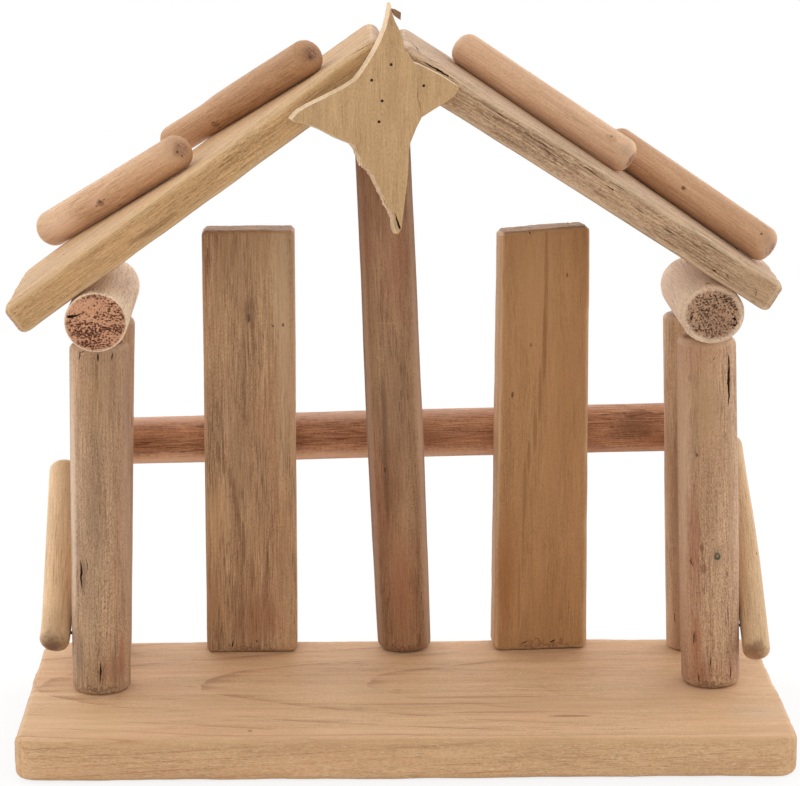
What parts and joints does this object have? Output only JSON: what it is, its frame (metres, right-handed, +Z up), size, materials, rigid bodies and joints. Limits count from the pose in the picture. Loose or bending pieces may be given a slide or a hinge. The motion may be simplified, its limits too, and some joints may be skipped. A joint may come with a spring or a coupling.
{
  "type": "wooden nativity stable",
  "caption": "Rustic open-fronted stable of round posts and planks on a board base, with a gabled plank roof, sticks on the roof and a flat star nailed at the ridge.",
  "frame": {"origin": "centre of the base board's underside", "axes": "+X to the right seen from the open front, +Y from the open front to the back wall, +Z up"},
  "size_m": [0.2857, 0.1441, 0.2743],
  "materials": {
    "base_wood": "bare, tumbled smooth",
    "post_wood": "bare, tumbled smooth",
    "eave_wood": "bare, tumbled smooth",
    "roof_wood": "bare, tumbled smooth",
    "stick_wood": "bare, tumbled smooth",
    "king_wood": "bare, tumbled smooth",
    "plank_wood": "bare, tumbled smooth",
    "rail_wood": "bare, tumbled smooth",
    "brace_wood": "bare, tumbled smooth",
    "star_wood": "bare, tumbled smooth",
    "nail_steel": "dull"
  },
  "bodies": {
    "root": {"base_board": "base_wood", "front_post_left": "post_wood", "front_post_right": "post_wood", "rear_post_left": "post_wood", "rear_post_right": "post_wood", "eave_log_left": "eave_wood", "eave_log_right": "eave_wood", "rafter_board_left": "roof_wood", "rafter_board_right": "roof_wood", "roof_log_left_lower": "stick_wood", "roof_log_left_upper": "stick_wood", "roof_log_right_upper": "stick_wood", "roof_log_right_lower": "stick_wood", "king_post": "king_wood", "wall_plank_left": "plank_wood", "wall_plank_right": "plank_wood", "back_rail": "rail_wood", "side_brace_left": "brace_wood", "side_brace_right": "brace_wood", "star": "star_wood", "base_nails": "nail_steel", "eave_nails": "nail_steel", "rafter_nails": "nail_steel", "roof_log_nails": "nail_steel", "star_nails": "nail_steel", "rail_nails": "nail_steel", "brace_nails": "nail_steel"}
  },
  "joints": []
}
